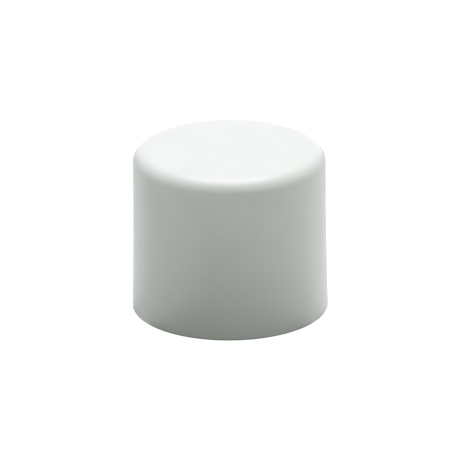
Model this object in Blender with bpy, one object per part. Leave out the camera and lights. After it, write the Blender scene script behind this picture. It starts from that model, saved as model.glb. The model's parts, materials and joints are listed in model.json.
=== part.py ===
"""Slip-socket end cap for a 25 mm plastic pressure pipe, a single injection moulding.

The cap stands on its open rim. The origin is the centre of the rim's plane, and +Z runs
along the pipe's axis, up through the closed end. Lengths are in metres, angles in radians.
"""

import math

import bmesh
import bpy
from mathutils import Vector

MM = 0.001

# Outside: a drafted wall, drawn in a little at mid-height where the thick plastic shrank
RIM_DIAMETER = 33.0 * MM
CAP_HEIGHT = 28.0 * MM
OUTER_DRAFT = math.radians(0.85)
WALL_SINK = 0.08 * MM
END_FILLET = 2.3 * MM
RIM_EDGE_FILLET = 0.25 * MM

# Socket that the pipe is cemented into: it tapers from the mouth to the pipe stop
PIPE_DIAMETER = 25.0 * MM
MOUTH_DIAMETER = PIPE_DIAMETER + 0.30 * MM
ROOT_DIAMETER = PIPE_DIAMETER + 0.05 * MM
SOCKET_DEPTH = PIPE_DIAMETER / 2 + 6.5 * MM
LEAD_IN_DEPTH = 1.0 * MM
LEAD_IN_ANGLE = math.radians(30)

# Recess beyond the pipe stop, which leaves the closed end's wall
STOP_LEDGE = 1.0 * MM
STOP_EDGE_FILLET = 0.3 * MM
RECESS_DRAFT = math.radians(1.5)
RECESS_FILLET = 1.5 * MM
END_WALL = 4.0 * MM

# Fineness of the turned surfaces
SEGMENTS = 96
WALL_BANDS = 6
END_FILLET_STEPS = 8
RECESS_FILLET_STEPS = 5
SMALL_FILLET_STEPS = 3
SHARP_EDGE = math.radians(30)

# Satin off-white rigid PVC
PLASTIC_COLOUR = (0.78, 0.80, 0.775, 1.0)
PLASTIC_ROUGHNESS = 0.42


def rounded(before, corner, after, radius, steps):
    """The points that turn a corner of the section on an arc of the given radius."""
    back = (before - corner).normalized()
    ahead = (after - corner).normalized()
    half = back.angle(ahead) / 2
    centre = corner + (back + ahead).normalized() * radius / math.sin(half)
    reach = radius / math.tan(half)
    start = corner + back * reach - centre
    end = corner + ahead * reach - centre
    sweep = math.pi - 2 * half
    points = []
    for i in range(steps + 1):
        turned = sweep * i / steps
        along = start * math.sin(sweep - turned) + end * math.sin(turned)
        points.append(centre + along / math.sin(sweep))
    return points


def inside_outline():
    """The section (r, z) from the axis under the end wall, by the recess and socket, to the rim."""
    ceiling = CAP_HEIGHT - END_WALL
    stop_r = ROOT_DIAMETER / 2 - STOP_LEDGE
    recess_r = stop_r - (ceiling - SOCKET_DEPTH) * math.tan(RECESS_DRAFT)
    lead_in_r = MOUTH_DIAMETER / 2 + LEAD_IN_DEPTH * math.tan(LEAD_IN_ANGLE)
    centre = Vector((0.0, ceiling))
    recess = Vector((recess_r, ceiling))
    stop = Vector((stop_r, SOCKET_DEPTH))
    root = Vector((ROOT_DIAMETER / 2, SOCKET_DEPTH))
    mouth = Vector((MOUTH_DIAMETER / 2, LEAD_IN_DEPTH))
    lead_in = Vector((lead_in_r, 0.0))
    recess_arc = rounded(centre, recess, stop, RECESS_FILLET, RECESS_FILLET_STEPS)
    stop_arc = rounded(recess, stop, root, STOP_EDGE_FILLET, SMALL_FILLET_STEPS)
    return [centre] + recess_arc + stop_arc + [root, mouth, lead_in]


def sunk_wall(foot, head):
    """Points part way up the outer wall, on a shallow bow between its two ends."""
    points = []
    for i in range(1, WALL_BANDS):
        share = i / WALL_BANDS
        point = foot.lerp(head, share)
        point.x -= WALL_SINK * 4 * share * (1 - share)
        points.append(point)
    return points


def outside_outline(rim_inside):
    """The section (r, z) from the rim's outer edge, up the wall, to the axis on the closed end."""
    rim = Vector((RIM_DIAMETER / 2, 0.0))
    shoulder = Vector((rim.x - CAP_HEIGHT * math.tan(OUTER_DRAFT), CAP_HEIGHT))
    centre = Vector((0.0, CAP_HEIGHT))
    rim_arc = rounded(rim_inside, rim, shoulder, RIM_EDGE_FILLET, SMALL_FILLET_STEPS)
    end_arc = rounded(rim, shoulder, centre, END_FILLET, END_FILLET_STEPS)
    return rim_arc + sunk_wall(rim_arc[-1], end_arc[0]) + end_arc + [centre]


def turned_mesh(name, outline):
    """Spins a section whose ends lie on the Z axis into one closed mesh."""
    bm = bmesh.new()
    points = [bm.verts.new((p.x, 0.0, p.y)) for p in outline]
    edges = [bm.edges.new(pair) for pair in zip(points, points[1:])]
    bmesh.ops.spin(
        bm,
        geom=points + edges,
        cent=(0, 0, 0),
        axis=(0, 0, 1),
        angle=2 * math.pi,
        steps=SEGMENTS,
    )
    bmesh.ops.remove_doubles(bm, verts=bm.verts, dist=0.001 * MM)
    bmesh.ops.recalc_face_normals(bm, faces=bm.faces)
    mesh = bpy.data.meshes.new(name)
    bm.to_mesh(mesh)
    bm.free()
    mesh.shade_smooth()
    mesh.set_sharp_from_angle(angle=SHARP_EDGE)
    return mesh


def plastic_material():
    """Satin off-white rigid PVC, as moulded."""
    material = bpy.data.materials.new("white_pvc")
    material.use_nodes = True
    shader = material.node_tree.nodes["Principled BSDF"]
    shader.inputs["Base Color"].default_value = PLASTIC_COLOUR
    shader.inputs["Roughness"].default_value = PLASTIC_ROUGHNESS
    shader.inputs["Metallic"].default_value = 0.0
    return material


def make_cap_body():
    """The cap's one solid: socket, pipe stop, recess and closed end in one moulding."""
    inside = inside_outline()
    mesh = turned_mesh("cap_body", inside + outside_outline(inside[-1]))
    mesh.materials.append(plastic_material())
    cap_body = bpy.data.objects.new("cap_body", mesh)
    bpy.context.scene.collection.objects.link(cap_body)


def clear_scene():
    for thing in list(bpy.data.objects):
        bpy.data.objects.remove(thing, do_unlink=True)


clear_scene()
make_cap_body()
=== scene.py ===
import json
import math

import bmesh
import bpy
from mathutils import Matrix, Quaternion, Vector


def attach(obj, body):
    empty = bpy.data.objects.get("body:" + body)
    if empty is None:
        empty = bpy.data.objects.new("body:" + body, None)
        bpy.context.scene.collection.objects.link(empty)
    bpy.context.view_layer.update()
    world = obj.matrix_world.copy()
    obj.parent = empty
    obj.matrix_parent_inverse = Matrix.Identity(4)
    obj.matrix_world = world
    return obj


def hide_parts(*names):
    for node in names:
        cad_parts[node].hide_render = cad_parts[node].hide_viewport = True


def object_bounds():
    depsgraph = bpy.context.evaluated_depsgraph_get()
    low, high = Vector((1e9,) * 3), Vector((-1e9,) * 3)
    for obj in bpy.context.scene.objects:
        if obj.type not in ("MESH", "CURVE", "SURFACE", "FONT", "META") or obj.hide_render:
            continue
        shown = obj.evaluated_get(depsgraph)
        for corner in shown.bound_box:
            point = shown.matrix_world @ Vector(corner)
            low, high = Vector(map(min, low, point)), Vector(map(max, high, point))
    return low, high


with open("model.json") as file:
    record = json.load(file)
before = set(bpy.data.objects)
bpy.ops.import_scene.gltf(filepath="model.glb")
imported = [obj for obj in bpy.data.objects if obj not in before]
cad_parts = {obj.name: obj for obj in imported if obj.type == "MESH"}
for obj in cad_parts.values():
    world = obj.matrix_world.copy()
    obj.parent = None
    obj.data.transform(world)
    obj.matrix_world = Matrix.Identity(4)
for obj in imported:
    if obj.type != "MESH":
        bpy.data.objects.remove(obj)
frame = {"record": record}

MM = 0.001

# The CAD box and the mounts give every outside size
cad_low, cad_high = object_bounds()
RIM_RADIUS = (cad_high.x - cad_low.x) / 2
CAP_HEIGHT = cad_high.z
MOUNTS = {mount["name"]: mount for mount in frame["record"]["mounts"]}
SOCKET_DEPTH = MOUNTS["pipe_stop"]["pos_m"][2]

# The moulding's section, as in the CAD, with the closed end's faint dish and the socket's
# fine roundings, which the CAD leaves out
OUTER_DRAFT = math.radians(0.85)
WALL_SINK = 0.08 * MM
END_FILLET = 2.3 * MM
END_DISH = 0.05 * MM
RIM_EDGE_FILLET = 0.25 * MM
PIPE_RADIUS = 12.5 * MM
MOUTH_RADIUS = PIPE_RADIUS + 0.15 * MM
ROOT_RADIUS = PIPE_RADIUS + 0.025 * MM
ROOT_FILLET = 0.12 * MM
LEAD_IN_DEPTH = 1.0 * MM
LEAD_IN_RADIUS = MOUTH_RADIUS + LEAD_IN_DEPTH * math.tan(math.radians(30))
LEAD_IN_FILLET = 0.12 * MM
STOP_LEDGE = 1.0 * MM
STOP_EDGE_FILLET = 0.3 * MM
RECESS_DRAFT = math.radians(1.5)
RECESS_FILLET = 1.5 * MM
END_WALL = 4.0 * MM

# What the mould leaves behind: the trimmed gate on the back of the rim, the step where the
# stripper ring meets the rim's face, and the ring round the core's air vent
GATE_WIDTH = 3.2 * MM
GATE_HEIGHT = 1.3 * MM
GATE_DEPTH = 0.14 * MM
GATE_EDGE = 0.12 * MM
STRIPPER_RADIUS = 15.0 * MM
STRIPPER_STEP = 0.03 * MM
VENT_RADIUS = 4.0 * MM
VENT_GROOVE = 0.05 * MM
WITNESS_WIDTH = 0.10 * MM

# Fineness of the surface: segments round it, the longest step along a straight stretch, and
# how many steps each rounding takes
SEGMENTS = 360
WALL_STEP = 0.5 * MM
FACE_STEP = 0.7 * MM
END_FILLET_STEPS = 20
RECESS_FILLET_STEPS = 10
EDGE_FILLET_STEPS = 6
FINE_FILLET_STEPS = 4
MOUTH_FILLET_STEPS = 3

# Camera: a long lens far off, a little above the cap. AIM is how far right of and above the
# cap's middle the camera looks.
CAMERA_ELEVATION = math.radians(20.9)
CAMERA_DISTANCE = 45 * RIM_RADIUS
CAMERA_SENSOR = 36.0
CAMERA_LENS = 346.0
CAMERA_ROLL = math.radians(-0.41)
CAMERA_AIM = (0.0024 * RIM_RADIUS, -0.0362 * RIM_RADIUS)

# Plastic: two shades that the clouding and the flow streaks run between, the roughness that
# its grain runs between, and the size of each pattern
PALE_SHADE = (0.804, 0.812, 0.812, 1.0)
DEEP_SHADE = (0.772, 0.787, 0.754, 1.0)
SPECK_COLOUR = (0.60, 0.59, 0.54, 1.0)
SATIN = (0.285, 0.345)
IOR = 1.54
CLOUD_SIZE = 7.0 * MM
CLOUD_SHARE = 0.75
STREAK_SIZE = 2.4 * MM
STREAK_STRETCH = 12.0
GRAIN_SIZE = 1.5 * MM
NOISE_MIDDLE = (0.35, 0.65)
SPECK_SPACING = 3.2 * MM
SPECK_RADIUS = 0.09 * MM
SPECK_SHARE = 0.22
PEEL_SIZE = 0.6 * MM
PEEL_DEPTH = 0.004 * MM
WAVE_SIZE = 4.0 * MM
WAVE_DEPTH = 0.03 * MM

# Studio: the radiance of the sky, of the softbox overhead, of the low panel behind and of the
# floor's own glow. TILT is the share by which the horizon grows brighter along each axis, and
# the camera sees the backdrop in the sky's place.
HORIZON_COLOUR = (0.383, 0.380, 0.397)
HORIZON_TILT = (0.39, 0.61, 0.0)
ZENITH_COLOUR = (0.619, 0.784, 0.588)
SOFTBOX_COLOUR = (3.00, 2.52, 3.14)
SOFTBOX_HEIGHT = 0.60
SOFTBOX_SIZE = (0.60, 0.60)
PANEL_COLOUR = (1.07, 1.04, 1.07)
PANEL_DISTANCE = 0.35
PANEL_SIZE = (0.326, 0.075)
BACKDROP_COLOUR = (1.0, 1.0, 1.0, 1.0)
FLOOR_RADIUS = 2.0
FLOOR_COLOUR = (0.20, 0.20, 0.20, 1.0)
FLOOR_GLOW = 0.92
SHEET_SEGMENTS = 96

# Cards that only the cap sees, lying just under the floor: a grey one all round, a black one in
# front of the cap, and a white one behind it and to its right. The black one is painted shadow:
# it stands for the cap's own shadow on the floor in front, and darkens the wall's lower front.
# SIZE is an oval's two radii.
BOUNCE_COLOUR = (0.50, 0.50, 0.50, 1.0)
BOUNCE_MIDDLE = (0.0, 0.0, -0.20 * MM)
# painted shadow: the black card's colour, standing for the cap's shadow on the floor in front
SHADOW_FLAG_COLOUR = (0.05, 0.05, 0.05, 1.0)
FLAG_SIZE = (1.1 * RIM_RADIUS, 1.6 * RIM_RADIUS)
FLAG_MIDDLE = (0.0, -FLAG_SIZE[1], -0.10 * MM)
BACK_SHEET_COLOUR = (0.90, 0.90, 0.90, 1.0)
BACK_SHEET_SIZE = (9.0 * RIM_RADIUS, 6.0 * RIM_RADIUS)
BACK_SHEET_MIDDLE = (1.5 * RIM_RADIUS, 0.95 * BACK_SHEET_SIZE[1], -0.15 * MM)


def rounded(before, corner, after, radius, steps):
    """The points that turn a corner of the section on an arc of the given radius."""
    back = (before - corner).normalized()
    ahead = (after - corner).normalized()
    half = back.angle(ahead) / 2
    centre = corner + (back + ahead).normalized() * radius / math.sin(half)
    reach = radius / math.tan(half)
    start = corner + back * reach - centre
    end = corner + ahead * reach - centre
    sweep = math.pi - 2 * half
    points = []
    for i in range(steps + 1):
        turned = sweep * i / steps
        along = start * math.sin(sweep - turned) + end * math.sin(turned)
        points.append(centre + along / math.sin(sweep))
    return points


def between(start, end, step):
    """Points no more than a step apart along a straight stretch, without its two ends."""
    bands = max(1, math.ceil((end - start).length / step))
    return [start.lerp(end, i / bands) for i in range(1, bands)]


def inside_outline():
    """The section (r, z) from the axis under the end wall, by the recess and socket, to the rim."""
    ceiling = CAP_HEIGHT - END_WALL
    stop_r = ROOT_RADIUS - STOP_LEDGE
    recess_r = stop_r - (ceiling - SOCKET_DEPTH) * math.tan(RECESS_DRAFT)
    centre = Vector((0.0, ceiling))
    recess = Vector((recess_r, ceiling))
    stop = Vector((stop_r, SOCKET_DEPTH))
    root = Vector((ROOT_RADIUS, SOCKET_DEPTH))
    mouth = Vector((MOUTH_RADIUS, LEAD_IN_DEPTH))
    lead_in = Vector((LEAD_IN_RADIUS, 0.0))
    rim = Vector((RIM_RADIUS, 0.0))
    recess_arc = rounded(centre, recess, stop, RECESS_FILLET, RECESS_FILLET_STEPS)
    stop_arc = rounded(recess, stop, root, STOP_EDGE_FILLET, EDGE_FILLET_STEPS)
    root_arc = rounded(stop, root, mouth, ROOT_FILLET, FINE_FILLET_STEPS)
    mouth_arc = rounded(root, mouth, lead_in, LEAD_IN_FILLET, MOUTH_FILLET_STEPS)
    lead_in_arc = rounded(mouth, lead_in, rim, LEAD_IN_FILLET, FINE_FILLET_STEPS)
    vent = [Vector((VENT_RADIUS + side * WITNESS_WIDTH, ceiling)) for side in (-1, 0, 1)]
    vent[1].y += VENT_GROOVE
    outline = [centre] + between(centre, vent[0], FACE_STEP) + vent
    outline += between(vent[-1], recess_arc[0], FACE_STEP) + recess_arc
    outline += between(recess_arc[-1], stop_arc[0], WALL_STEP) + stop_arc + root_arc
    outline += between(root_arc[-1], mouth_arc[0], WALL_STEP) + mouth_arc + lead_in_arc
    return outline


def sunk_wall(foot, head):
    """The outer wall between its two ends, on a shallow bow, with rings along the gate's top edge."""
    slope = (head.x - foot.x) / (head.y - foot.y)
    gate_top = [GATE_HEIGHT, GATE_HEIGHT + GATE_EDGE]
    gate_rings = [Vector((foot.x + slope * (z - foot.y), z)) for z in gate_top]
    points = between(foot, gate_rings[0], WALL_STEP / 2) + gate_rings
    points += between(gate_rings[-1], head, WALL_STEP)
    for point in points:
        share = (point.y - foot.y) / (head.y - foot.y)
        point.x -= WALL_SINK * 4 * share * (1 - share)
    return points


def rim_face(inner, outer):
    """The rim's flat face, a hair higher inside the stripper ring's edge."""
    step = [Vector((STRIPPER_RADIUS + side * WITNESS_WIDTH / 2, 0.0)) for side in (-1, 1)]
    inside = [inner] + between(inner, step[0], FACE_STEP) + [step[0]]
    for point in inside:
        point.y += STRIPPER_STEP
    return inside + [step[1]] + between(step[1], outer, FACE_STEP)


def outside_outline(rim_inside):
    """The section (r, z) from the rim's outer edge, up the wall, to the axis on the closed end."""
    rim = Vector((RIM_RADIUS, 0.0))
    shoulder = Vector((rim.x - CAP_HEIGHT * math.tan(OUTER_DRAFT), CAP_HEIGHT))
    centre = Vector((0.0, CAP_HEIGHT))
    rim_arc = rounded(rim_inside, rim, shoulder, RIM_EDGE_FILLET, EDGE_FILLET_STEPS)
    end_arc = rounded(rim, shoulder, centre, END_FILLET, END_FILLET_STEPS)
    face = between(end_arc[-1], centre, FACE_STEP) + [centre]
    for point in face:
        share = point.x / end_arc[-1].x
        point.y -= END_DISH * (1 - share * share) ** 2
    return rim_arc + sunk_wall(rim_arc[-1], end_arc[0]) + end_arc + face


def cap_outline():
    """The whole section, from the axis inside, round the rim, to the axis on the closed end."""
    inside = inside_outline()
    outside = outside_outline(inside[-1])
    return inside[:-1] + rim_face(inside[-1], outside[0]) + outside


def turned_mesh(name, outline):
    """Turns a section whose ends lie on the Z axis into one closed mesh."""
    turns = [2 * math.pi * j / SEGMENTS for j in range(SEGMENTS)]
    rings = outline[1:-1]
    points = [(p.x * math.cos(t), p.x * math.sin(t), p.y) for p in rings for t in turns]
    first = len(points)
    last = first + 1
    points += [(0.0, 0.0, outline[0].y), (0.0, 0.0, outline[-1].y)]
    faces = []
    top_ring = (len(rings) - 1) * SEGMENTS
    for j in range(SEGMENTS):
        k = (j + 1) % SEGMENTS
        faces.append((first, k, j))
        for low in range(0, top_ring, SEGMENTS):
            high = low + SEGMENTS
            faces.append((low + j, low + k, high + k, high + j))
        faces.append((top_ring + j, top_ring + k, last))
    mesh = bpy.data.meshes.new(name)
    mesh.from_pydata(points, [], faces)
    mesh.shade_smooth()
    return mesh


def trim_gate(mesh):
    """Cuts the small flat that is left where the gate was trimmed off the back of the rim."""
    flat = RIM_RADIUS - GATE_DEPTH
    for vertex in mesh.vertices:
        x, y, z = vertex.co
        beside = max(0.0, abs(x) - GATE_WIDTH / 2) / GATE_EDGE
        above = max(0.0, z - GATE_HEIGHT) / GATE_EDGE
        fade = max(0.0, 1.0 - max(beside, above))
        if y > flat and fade > 0.0:
            vertex.co.y += (flat - y) * fade


def link(obj):
    """Puts an object into the scene."""
    bpy.context.scene.collection.objects.link(obj)
    return obj


def make_cap():
    """The cap's one piece, which stands for the CAD's plainer solid."""
    mesh = turned_mesh("cap_moulding", cap_outline())
    trim_gate(mesh)
    mesh.materials.append(pvc_material())
    cap = link(bpy.data.objects.new("cap_moulding", mesh))
    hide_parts("cap_body")
    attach(cap, "root")


def plug(tree, sockets, values):
    """Gives each input socket its value, or links it where the value is another socket."""
    for socket, value in zip(sockets, values):
        if isinstance(value, bpy.types.NodeSocket):
            tree.links.new(value, socket)
        else:
            socket.default_value = value


def add(tree, kind, settings=(), **values):
    """Adds a shader node, and sets its properties and then the inputs that are named."""
    node = tree.nodes.new("ShaderNode" + kind)
    for name, value in settings:
        setattr(node, name, value)
    plug(tree, [node.inputs[name] for name in values], values.values())
    return node


def noise(tree, place, size, detail=3.0):
    """A smooth random pattern whose features are about the given size."""
    return add(tree, "TexNoise", Vector=place, Scale=1.0 / size, Detail=detail).outputs["Fac"]


def spread(tree, value, low, high):
    """Stretches the middle of a noise's range over low to high."""
    node = add(tree, "MapRange")
    plug(tree, node.inputs, (value, *NOISE_MIDDLE, low, high))
    return node.outputs["Result"]


def mixed(tree, kind, share, first, second):
    """Mixes two vectors or two colours, each kind by its own sockets on the Mix node."""
    inputs, output = {"VECTOR": ((0, 4, 5), 1), "RGBA": ((0, 6, 7), 2)}[kind]
    node = add(tree, "Mix", [("data_type", kind)])
    plug(tree, [node.inputs[number] for number in inputs], (share, first, second))
    return node.outputs[output]


def calculated(tree, operation, first, second):
    """The result of a Math node on two numbers, either of which may be a socket."""
    node = add(tree, "Math", [("operation", operation)])
    plug(tree, node.inputs, (first, second))
    return node.outputs[0]


def specks(tree, place):
    """1 on a few small round specks of burnt or dusty plastic, 0 elsewhere."""
    cells = add(tree, "TexVoronoi", Vector=place, Scale=1.0 / SPECK_SPACING)
    near = calculated(tree, "LESS_THAN", cells.outputs["Distance"], SPECK_RADIUS / SPECK_SPACING)
    pick = add(tree, "SeparateColor", Color=cells.outputs["Color"]).outputs["Red"]
    chosen = calculated(tree, "LESS_THAN", pick, SPECK_SHARE)
    return calculated(tree, "MULTIPLY", near, chosen)


def pvc_material():
    """Off-white rigid PVC: faintly clouded, streaked up the wall by its flow, with a satin skin."""
    material = bpy.data.materials.new("white_pvc")
    material.use_nodes = True
    tree = material.node_tree
    shader = tree.nodes["Principled BSDF"]
    place = add(tree, "TexCoord").outputs["Object"]
    upright = add(tree, "Mapping", Vector=place, Scale=(1.0, 1.0, 1.0 / STREAK_STRETCH)).outputs[0]
    cloud = spread(tree, noise(tree, place, CLOUD_SIZE), 0.0, CLOUD_SHARE)
    streak = spread(tree, noise(tree, upright, STREAK_SIZE, detail=1.0), 0.0, 1.0 - CLOUD_SHARE)
    shade = calculated(tree, "ADD", cloud, streak)
    plastic = mixed(tree, "RGBA", shade, DEEP_SHADE, PALE_SHADE)
    colour = mixed(tree, "RGBA", specks(tree, place), plastic, SPECK_COLOUR)
    satin = spread(tree, noise(tree, place, GRAIN_SIZE), *SATIN)
    waves = noise(tree, place, WAVE_SIZE, detail=1.0)
    wavy = add(tree, "Bump", Height=waves, Distance=WAVE_DEPTH).outputs[0]
    peel = noise(tree, place, PEEL_SIZE, detail=2.0)
    skin = add(tree, "Bump", Height=peel, Distance=PEEL_DEPTH, Normal=wavy).outputs[0]
    tree.links.new(colour, shader.inputs["Base Color"])
    tree.links.new(satin, shader.inputs["Roughness"])
    tree.links.new(skin, shader.inputs["Normal"])
    shader.inputs["IOR"].default_value = IOR
    return material


def make_camera():
    """The camera in front of the cap, looking down on it a little, with a slight roll."""
    data = bpy.data.cameras.new("camera")
    data.sensor_width = CAMERA_SENSOR
    data.lens = CAMERA_LENS
    camera = link(bpy.data.objects.new("camera", data))
    back = Vector((0.0, -math.cos(CAMERA_ELEVATION), math.sin(CAMERA_ELEVATION)))
    up = Vector((0.0, math.sin(CAMERA_ELEVATION), math.cos(CAMERA_ELEVATION)))
    target = Vector((CAMERA_AIM[0], 0.0, CAP_HEIGHT / 2)) + up * CAMERA_AIM[1]
    camera.location = target + back * CAMERA_DISTANCE
    camera.rotation_mode = "QUATERNION"
    level = back.to_track_quat("Z", "Y")
    camera.rotation_quaternion = level @ Quaternion((0.0, 0.0, 1.0), CAMERA_ROLL)
    bpy.context.scene.camera = camera


def make_sheet(name, middle, radii, colour):
    """A flat matt oval on the floor's plane or just under it."""
    bm = bmesh.new()
    bmesh.ops.create_circle(bm, cap_ends=True, segments=SHEET_SEGMENTS, radius=1.0)
    bmesh.ops.scale(bm, verts=bm.verts, vec=(radii[0], radii[1], 1.0))
    bmesh.ops.translate(bm, verts=bm.verts, vec=middle)
    mesh = bpy.data.meshes.new(name)
    bm.to_mesh(mesh)
    bm.free()
    material = bpy.data.materials.new(name)
    material.use_nodes = True
    shader = material.node_tree.nodes["Principled BSDF"]
    shader.inputs["Base Color"].default_value = colour
    shader.inputs["Roughness"].default_value = 1.0
    shader.inputs["Specular IOR Level"].default_value = 0.0
    mesh.materials.append(material)
    sheet = link(bpy.data.objects.new(name, mesh))
    return sheet


def make_floor():
    """The glowing white floor that only the camera sees."""
    floor = make_sheet("floor", (0.0, 0.0, 0.0), (FLOOR_RADIUS, FLOOR_RADIUS), FLOOR_COLOUR)
    floor.visible_diffuse = False
    floor.visible_glossy = False
    floor.visible_shadow = False
    shader = floor.data.materials[0].node_tree.nodes["Principled BSDF"]
    shader.inputs["Emission Color"].default_value = (1.0, 1.0, 1.0, 1.0)
    shader.inputs["Emission Strength"].default_value = FLOOR_GLOW


def make_cards():
    """The cards under the floor, hidden from the camera; the black one in front is painted shadow."""
    cards = [
        ("bounce_card", BOUNCE_MIDDLE, (FLOOR_RADIUS, FLOOR_RADIUS), BOUNCE_COLOUR),
        # painted shadow: the black card lies where the cap's shadow falls on the floor in front
        ("front_shadow_flag", FLAG_MIDDLE, FLAG_SIZE, SHADOW_FLAG_COLOUR),
        ("back_sheet", BACK_SHEET_MIDDLE, BACK_SHEET_SIZE, BACK_SHEET_COLOUR),
    ]
    for card in cards:
        make_sheet(*card).visible_camera = False


def make_lamp(name, shape, size, place, facing, radiance):
    """A soft lamp, shining the way it faces, that the camera doesn't see."""
    filled = math.pi / 4 if shape == "ELLIPSE" else 1.0
    data = bpy.data.lights.new(name, "AREA")
    data.shape = shape
    data.size, data.size_y = size
    data.color = [level / max(radiance) for level in radiance]
    data.energy = max(radiance) * math.pi * filled * size[0] * size[1]
    lamp = link(bpy.data.objects.new(name, data))
    lamp.location = place
    lamp.rotation_mode = "QUATERNION"
    lamp.rotation_quaternion = (-facing).to_track_quat("Z", "Y")
    lamp.visible_camera = False


def make_lamps():
    """A round softbox straight above the cap, and a low white panel behind it."""
    above = Vector((0.0, 0.0, SOFTBOX_HEIGHT))
    behind = Vector((0.0, PANEL_DISTANCE, PANEL_SIZE[1] / 2))
    down = Vector((0.0, 0.0, -1.0))
    forward = Vector((0.0, -1.0, 0.0))
    make_lamp("softbox", "ELLIPSE", SOFTBOX_SIZE, above, down, SOFTBOX_COLOUR)
    make_lamp("panel", "RECTANGLE", PANEL_SIZE, behind, forward, PANEL_COLOUR)


def make_room():
    """Soft light from all round, strongest overhead and, low down, from behind and the right.

    The camera sees a plain backdrop instead.
    """
    world = bpy.data.worlds.new("room")
    world.use_nodes = True
    tree = world.node_tree
    way = add(tree, "TexCoord").outputs["Generated"]
    height = add(tree, "SeparateXYZ", Vector=way).outputs["Z"]
    tilt = add(tree, "VectorMath", [("operation", "DOT_PRODUCT")])
    plug(tree, tilt.inputs, (way, HORIZON_TILT))
    level = calculated(tree, "ADD", tilt.outputs["Value"], 1.0)
    horizon = add(tree, "VectorMath", [("operation", "SCALE")], Scale=level)
    horizon.inputs[0].default_value = HORIZON_COLOUR
    sky = mixed(tree, "VECTOR", height, horizon.outputs[0], ZENITH_COLOUR)
    light = tree.nodes["Background"]
    tree.links.new(sky, light.inputs["Color"])
    seen = add(tree, "Background", Color=BACKDROP_COLOUR)
    from_camera = add(tree, "LightPath").outputs["Is Camera Ray"]
    mix = tree.nodes.new("ShaderNodeMixShader")
    plug(tree, mix.inputs, (from_camera, light.outputs[0], seen.outputs[0]))
    tree.links.new(mix.outputs[0], tree.nodes["World Output"].inputs["Surface"])
    bpy.context.scene.world = world


make_cap()
make_camera()
make_floor()
make_cards()
make_lamps()
make_room()
bpy.context.scene.view_settings.view_transform = "Standard"
